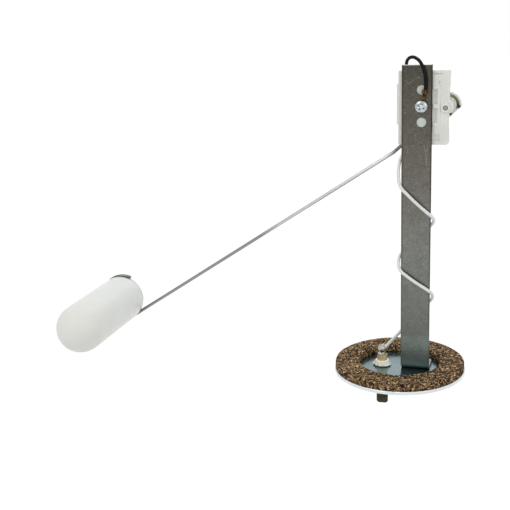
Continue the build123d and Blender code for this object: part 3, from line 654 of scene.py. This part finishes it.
def makeCorkRing(size):
    bore, edge, low, high = size["bore"], size["edge"], size["low"], size["high"]
    corners = [(bore, low), (edge, low), (edge, high), (bore, high)]
    outline = []
    for first, last in zip(corners, corners[1:] + corners[:1]):
        outline += spaced(first, last, size["pitch"])
    piece = spinPiece("corkRing", outline + outline[:1], (0, 0), "Z", size["turns"])
    for point in piece.data.vertices:
        place = point.co / mm
        radius = math.hypot(place.x, place.y)
        near, spots = noise.voronoi(place / size["grain"])
        crack = max(0.0, 1 - (near[1] - near[0]) / size["crackReach"])
        lift = size["bulge"] * noise.cell(spots[0] * 7.7) - size["crack"] * crack
        inward = min(radius - bore, edge - radius)
        if place.z < low + 0.01 and inward > 0.5:
            continue  # lies on the flange
        if place.z > high - 0.01 and inward > 0.2:
            place.z += min(lift, 0.0)
        else:
            side = 1 if edge - radius < radius - bore else -1
            atCorner = place.z > high - size["cornerReach"] or place.z < low + size["cornerReach"]
            corner = size["corner"] if atCorner else 0.0
            reach = radius + side * (lift - corner)
            place.x *= reach / radius
            place.y *= reach / radius
            if place.z > high - 0.01:
                place.z -= size["topDrop"]
        point.co = place * mm
    smooth(piece, size["smooth"])
    settle(piece, "sender", "cork", "cork", "cork_gasket")


makeCorkRing(corkRing)


bush = {
    "centre": (-7.95, 0.4),
    "bore": 1.8,
    "outline": [
        (2.82, -4.8), (2.82, -3.2), (3.2, -3.18), (3.3, -2.9), (3.65, -2.85), (4.0, -2.75), (4.05, -2.6),
        (3.8, -2.3), (3.6, -1.95), (3.4, -1.6), (3.25, -1.25), (3.1, -0.95), (2.9, -0.74), (2.4, -0.66),
    ],
    "foot": -4.8,
    "top": -0.68,
    "steps": 96,
    "lip": 3.35,  # the torn lip starts at this radius
    "lipWidth": 0.6,
    "ragged": 1.6,
    "smooth": 50,
}


def makeBush(size):
    foot, top = (size["bore"], size["foot"]), (size["bore"], size["top"])
    outline = [foot] + size["outline"] + [top, foot]
    piece = spinPiece("insulatingBush", outline, size["centre"], "Z", size["steps"])
    for point in piece.data.vertices:
        place = point.co / mm
        arm = Vector((place.x - size["centre"][0], place.y - size["centre"][1]))
        if arm.length > size["lip"]:
            turn = arm.normalized()
            wide = noise.noise(Vector((turn.x * 2.6, turn.y * 2.6, 4.0)))
            fine = noise.noise(Vector((turn.x * 7, turn.y * 7, 1.0)))
            tear = 0.5 * wide + 0.9 * fine
            share = min(1.0, (arm.length - size["lip"]) / size["lipWidth"])
            arm = turn * (arm.length + size["ragged"] * share * min(tear, 0.12))
            curl = noise.noise(Vector((turn.x * 6, turn.y * 6, 9.0)))
            place.z += 0.5 * share * max(-0.1, curl)
            place.x = size["centre"][0] + arm.x
            place.y = size["centre"][1] + arm.y
        elif place.z > -2.3 and arm.length > 2.0:
            stretch = 1 + 0.03 * noise.noise(place * 1.3)
            place.x = size["centre"][0] + arm.x * stretch
            place.y = size["centre"][1] + arm.y * stretch
        point.co = place * mm
    smooth(piece, size["smooth"])
    settle(piece, "sender", "bushWhite", "nylon", "inner_bush")


makeBush(bush)


solder = {
    "centre": (-8.1, 0.3),
    "outline": [
        (0.0, 2.1), (2.15, 2.1), (2.2, 2.3), (2.08, 2.75), (1.95, 3.3), (1.95, 4.4), (1.86, 5.2), (1.6, 5.9),
        (1.2, 6.35), (0.65, 6.62), (0.0, 6.7),
    ],
    "steps": 48,
    "wave": 0.08,
    "waveFrom": 2.2,
    "smooth": 70,
}


def makeSolder(size):
    piece = spinPiece("solderDome", size["outline"], size["centre"], "Z", size["steps"])
    bpy.ops.object.mode_set(mode="EDIT")
    bpy.ops.mesh.select_all(action="SELECT")
    bpy.ops.mesh.subdivide(number_cuts=1, smoothness=0)
    bpy.ops.object.mode_set(mode="OBJECT")
    for point in piece.data.vertices:
        place = point.co / mm
        arm = Vector((place.x - size["centre"][0], place.y - size["centre"][1]))
        if arm.length > 0.05 and place.z > size["waveFrom"]:
            turn = arm.normalized()
            wave = noise.noise(Vector((turn.x * 2.2, turn.y * 2.2, place.z * 0.25)))
            place.x += arm.x * size["wave"] * wave
            place.y += arm.y * size["wave"] * wave
        point.co = place * mm
    smooth(piece, size["smooth"])
    settle(piece, "sender", "solder", "solder", "terminal_solder")


makeSolder(solder)


earthScrew = {
    "centre": (9.4, 115.7),
    "head": 2.8,
    "face": -6.3,
    "seat": -4.4,
    "shank": 1.5,
    "end": 1.6,
    "pitch": 0.5,
    "steps": 48,
    "slots": (28, 118),  # degrees about the screw's axis
    "slot": 0.8,
    "slotLength": 3.7,
    "depth": 0.95,
    "taper": 0.45,  # the slots narrow to this share at their floor
    "smooth": 35,
}


def makeSlotCutter(size, turn):
    centre = Vector((size["centre"][0], 0, size["centre"][1])) * mm
    depth = (size["face"] + size["depth"] / 2 - 0.2) * mm
    bpy.ops.object.select_all(action="DESELECT")
    bpy.ops.mesh.primitive_cube_add(size=1, location=(centre.x, depth, centre.z))
    cutter = bpy.context.object
    cutter.scale = (size["slotLength"] * mm, (size["depth"] + 0.4) * mm, size["slot"] * mm)
    cutter.rotation_euler = (0, math.radians(turn), 0)
    bpy.ops.object.transform_apply()
    deepest = max(point.co.y for point in cutter.data.vertices)
    for point in cutter.data.vertices:
        if point.co.y > deepest - 0.01 * mm:
            point.co.x = centre.x + (point.co.x - centre.x) * size["taper"]
            point.co.z = centre.z + (point.co.z - centre.z) * size["taper"]
    return cutter


def makeEarthScrew(size):
    head, face, seat, shank = size["head"], size["face"], size["seat"], size["shank"]
    outline = [
        (0.0, face), (0.9, face + 0.02), (1.5, face + 0.1), (2.05, face + 0.28), (2.45, face + 0.6),
        (2.7, face + 1.0), (head, face + 1.4), (head, seat - 0.08), (head - 0.08, seat),
        (shank - 0.2, seat),
    ]
    height = seat + 0.1
    while height < size["end"] - 0.35:
        outline += [(shank - 0.2, height), (shank, height + size["pitch"] / 2)]
        height += size["pitch"]
    outline += [(shank - 0.3, size["end"]), (0.0, size["end"])]
    piece = spinPiece("earthScrewHead", outline, size["centre"], "Y", size["steps"])
    cutters = [makeSlotCutter(size, turn) for turn in size["slots"]]
    for cutter in cutters:
        cross = piece.modifiers.new("cross", "BOOLEAN")
        cross.object = cutter
        cross.operation = "DIFFERENCE"
        cross.solver = "EXACT"
        pick(piece)
        bpy.ops.object.modifier_apply(modifier=cross.name)
        bpy.data.objects.remove(cutter)
    smooth(piece, size["smooth"])
    settle(piece, "sender", "screwSteel", "steel", "earth_screw")


makeEarthScrew(earthScrew)


ringTerminal = {
    "centre": (9.4, 115.7),
    "front": -4.4,
    "back": -3.9,
    "bore": 1.6,
    "edge": 2.72,
    "lean": 12,  # degrees from upright, as the wire leaves
    "wireLine": -5.1,
    "steps": 48,
    "crimps": [(2.95, 1.5, 0.62), (5.5, 1.65, 0.8)],  # start along the wire, length, half width
    "wing": [  # half a crimp's section, in half widths
        (0.1, 0.62), (0.42, 0.98), (0.8, 0.9), (1.12, 0.5), (1.22, 0.0), (1.1, -0.5), (0.7, -0.85),
        (0.0, -0.95),
    ],
    "sheet": 0.28,
    "sheetEdge": 0.06,
    "tongue": {
        "start": (0, -4.15, 2.3),
        "width": 1.5,
        "thin": 0.2,
        # each step's move, and its width against the one before
        "steps": [((0, -0.2, 0.9), 0.8), ((0, -0.05, 1.1), 0.9), ((0, 0.05, 1.3), 1.15)],
    },
    "conductor": {"start": 3.0, "end": 5.3, "radius": 0.42, "sides": 16, "round": 0.08},
    "smooth": 40,
}


def makeCrimp(size, start, length, half):
    # one open barrel: its two wings fold round and meet in front
    side = [(u * half, v * half) for u, v in size["wing"]]
    line = side + [(-u, v) for u, v in reversed(side[:-1])]
    crimp = drawLine([Vector((u, -v, start)) * mm for u, v in line])
    bpy.ops.mesh.extrude_edges_move(TRANSFORM_OT_translate={"value": (0, 0, length * mm)})
    bpy.ops.mesh.select_all(action="SELECT")
    bpy.ops.mesh.normals_make_consistent(inside=False)
    bpy.ops.object.mode_set(mode="OBJECT")
    wall = crimp.modifiers.new("wall", "SOLIDIFY")
    wall.thickness = size["sheet"] * mm
    wall.offset = 0
    bpy.ops.object.modifier_apply(modifier="wall")
    soft = crimp.modifiers.new("soft", "BEVEL")
    soft.width = size["sheetEdge"] * mm
    soft.segments = 2
    soft.limit_method = "ANGLE"
    bpy.ops.object.modifier_apply(modifier="soft")
    return crimp


def makeTongue(size):
    # joins the ring and the barrels
    bpy.ops.object.select_all(action="DESELECT")
    bpy.ops.mesh.primitive_plane_add(size=size["width"] * mm, location=Vector(size["start"]) * mm)
    tongue = bpy.context.object
    bpy.ops.object.transform_apply()
    bpy.ops.object.mode_set(mode="EDIT")
    bpy.ops.mesh.select_all(action="SELECT")
    bpy.ops.transform.resize(value=(1, size["thin"], 1))
    for step, widen in size["steps"]:
        bpy.ops.mesh.extrude_region_move(TRANSFORM_OT_translate={"value": Vector(step) * mm})
        bpy.ops.transform.resize(value=(widen, 1, 1))
    bpy.ops.mesh.select_all(action="SELECT")
    bpy.ops.mesh.normals_make_consistent(inside=False)
    bpy.ops.object.mode_set(mode="OBJECT")
    return tongue


def makeConductor(size, lift, degrees):
    # the bare end of the earth wire between the crimps
    start, end = size["start"] * mm, size["end"] * mm
    bpy.ops.object.select_all(action="DESELECT")
    bpy.ops.mesh.primitive_cylinder_add(
        vertices=size["sides"], radius=size["radius"] * mm, depth=end - start,
        location=(0, 0, (start + end) / 2))
    core = bpy.context.object
    core.name = "earthConductor"
    bpy.ops.object.transform_apply()
    core.matrix_world = lift
    pick(core)
    bpy.ops.object.transform_apply()
    bpy.ops.object.mode_set(mode="EDIT")
    bpy.ops.mesh.select_all(action="SELECT")
    bpy.ops.mesh.bevel(offset=size["round"] * mm, segments=2, affect="EDGES")
    bpy.ops.object.mode_set(mode="OBJECT")
    smooth(core, degrees)
    settle(core, "sender", "darkCopper", "brass")


def makeRingTerminal(size):
    bore, edge, front, back = size["bore"], size["edge"], size["front"], size["back"]
    outline = [
        (bore, front), (edge - 0.08, front), (edge, front + 0.1), (edge, back), (bore, back),
        (bore, front),
    ]
    ring = spinPiece("ringTerminalCrimped", outline, size["centre"], "Y", size["steps"])
    crimps = [makeCrimp(size, *crimp) for crimp in size["crimps"]]
    tongue = makeTongue(size["tongue"])
    centre = Vector((size["centre"][0], 0, size["centre"][1])) * mm
    turn = Matrix.Translation(centre) @ Matrix.Rotation(math.radians(size["lean"]), 4, "Y")
    lift = turn @ Matrix.Translation((0, size["wireLine"] * mm, 0))
    for crimp in crimps:
        crimp.matrix_world = lift
    tongue.matrix_world = turn
    pick(*crimps, tongue)
    bpy.ops.object.transform_apply()
    pick(*crimps, tongue, ring)
    bpy.ops.object.join()
    smooth(ring, size["smooth"])
    settle(ring, "sender", "brass", "brass", "ring_terminal")
    makeConductor(size["conductor"], lift, size["smooth"])


makeRingTerminal(ringTerminal)


def bentWire(name, points, radius, roundness=10):
    # a round wire through the points, with capped ends
    line = bpy.data.curves.new(name, "CURVE")
    line.dimensions = "3D"
    line.resolution_u = 10
    line.bevel_depth = radius * mm
    line.bevel_resolution = roundness
    line.use_fill_caps = True
    run = line.splines.new("BEZIER")
    run.bezier_points.add(len(points) - 1)
    for knot, place in zip(run.bezier_points, points):
        knot.co = Vector(place) * mm
        knot.handle_left_type = knot.handle_right_type = "AUTO"
    piece = bpy.data.objects.new(name, line)
    bpy.context.scene.collection.objects.link(piece)
    pick(piece)
    bpy.ops.object.convert(target="MESH")
    piece = bpy.context.object
    bpy.ops.object.mode_set(mode="EDIT")
    bpy.ops.mesh.select_all(action="SELECT")
    bpy.ops.mesh.remove_doubles(threshold=0.002 * mm)
    bpy.ops.mesh.normals_make_consistent(inside=False)
    bpy.ops.object.mode_set(mode="OBJECT")
    smooth(piece, 50)
    return piece


signalWire = {
    "radius": 0.72,
    "points": [
        (6.0, 1.2, 102.2), (5.9, 0.9, 100.0), (4.3, -0.7, 97.8), (1.4, -1.75, 94.9),
        (0.0, -2.5, 91.2), (-0.2, -3.7, 86.4), (0.9, -4.9, 81.6), (4.2, -5.5, 78.0),
        (8.5, -5.6, 73.9), (12.4, -5.1, 70.4), (14.6, -4.2, 68.2), (15.0, -2.8, 66.2),
        (13.4, -1.8, 63.8), (7.5, -1.75, 57.6), (1.8, -1.8, 52.2), (0.15, -2.4, 49.2),
        (-0.05, -3.6, 46.7), (0.9, -4.8, 44.2), (4.4, -5.4, 41.3), (8.6, -5.4, 38.4),
        (12.6, -5.0, 35.8), (14.6, -4.1, 33.9), (14.9, -2.7, 31.6), (12.9, -1.8, 28.7),
        (7.5, -1.2, 22.3), (-1.0, -0.3, 12.0), (-6.9, 0.3, 4.9),
    ],
}


def makeSignalWire(size):
    wire = bentWire("signalWireSmooth", size["points"], size["radius"])
    settle(wire, "sender", "whiteWire", "wire_white", "signal_wire")


makeSignalWire(signalWire)


earthWire = {
    "radius": 0.72,
    "points": [
        (10.45, -5.1, 120.6), (11.15, -5.1, 124.0), (11.05, -5.15, 127.6), (10.3, -5.1, 131.0),
        (8.9, -4.6, 133.9), (6.9, -3.3, 135.5), (5.0, -1.8, 135.85), (3.3, -0.2, 135.1),
        (2.3, 1.5, 133.4), (2.04, 2.6, 130.9), (2.04, 2.7, 126.8),
    ],
}


def makeEarthWire(size):
    wire = bentWire("earthWireSmooth", size["points"], size["radius"])
    settle(wire, "sender", "blackWire", "wire_black", "earth_wire")


makeEarthWire(earthWire)


armWire = {
    "radius": 0.78,
    "plane": 10.0,
    "float": (-141.75, 17.9),
    "hoop": 10.63,
    "meets": -57.17,  # degrees round the float where the hoop turns into the arm
    "leaves": 65.0,  # and where its cut end is
    "hoopSteps": 60,
    "springBack": 1.3,  # the cut end stands this much out of its groove
    "springArc": 65,
    "kink": (-4.5, 93.8),
    "kinkRadius": 9.0,
    "pivot": (19.3, 115.0),
    "pivotRadius": 1.2,
    "cornerSteps": 6,
    "end": -3.8,
    "roundness": 7,
}


def roundedCorner(before, corner, after, radius, steps):
    toward, away = (corner - before).normalized(), (after - corner).normalized()
    turn = toward.angle(away)
    cut = radius * math.tan(turn / 2)
    start, inward = corner - toward * cut, (away - toward).normalized()
    middle = corner + inward * (radius / math.cos(turn / 2))
    first = start - middle
    side = toward.normalized()
    angles = [turn * i / steps for i in range(steps + 1)]
    return [middle + first * math.cos(a) + side * radius * math.sin(a) for a in angles]


def makeArmWire(size):
    centre = Vector((size["float"][0], size["plane"], size["float"][1]))
    points = []
    last = 360 + size["meets"]
    for step in range(size["hoopSteps"] + 1):
        angle = size["leaves"] + (last - size["leaves"]) * step / size["hoopSteps"]
        rise = size["springBack"] * max(0.0, 1 - (angle - size["leaves"]) / size["springArc"])
        turn = math.radians(angle)
        arm = Vector((math.cos(turn), 0, math.sin(turn)))
        points.append(centre + (size["hoop"] + rise) * arm)
    kink = Vector((size["kink"][0], size["plane"], size["kink"][1]))
    pivot = Vector((size["pivot"][0], size["plane"], size["pivot"][1]))
    tip = Vector((size["pivot"][0], size["end"], size["pivot"][1]))
    points += [points[-1].lerp(kink, i / 8) for i in range(1, 8)]
    points += roundedCorner(points[-1], kink, pivot, size["kinkRadius"], size["cornerSteps"])
    points += roundedCorner(kink, pivot, tip, size["pivotRadius"], size["cornerSteps"])
    points.append(tip)
    wire = bentWire("armWireSmooth", points, size["radius"], size["roundness"])
    settle(wire, "float_arm", "armSteel", "arm_steel", "arm_wire")


makeArmWire(armWire)
print("detail pieces made")
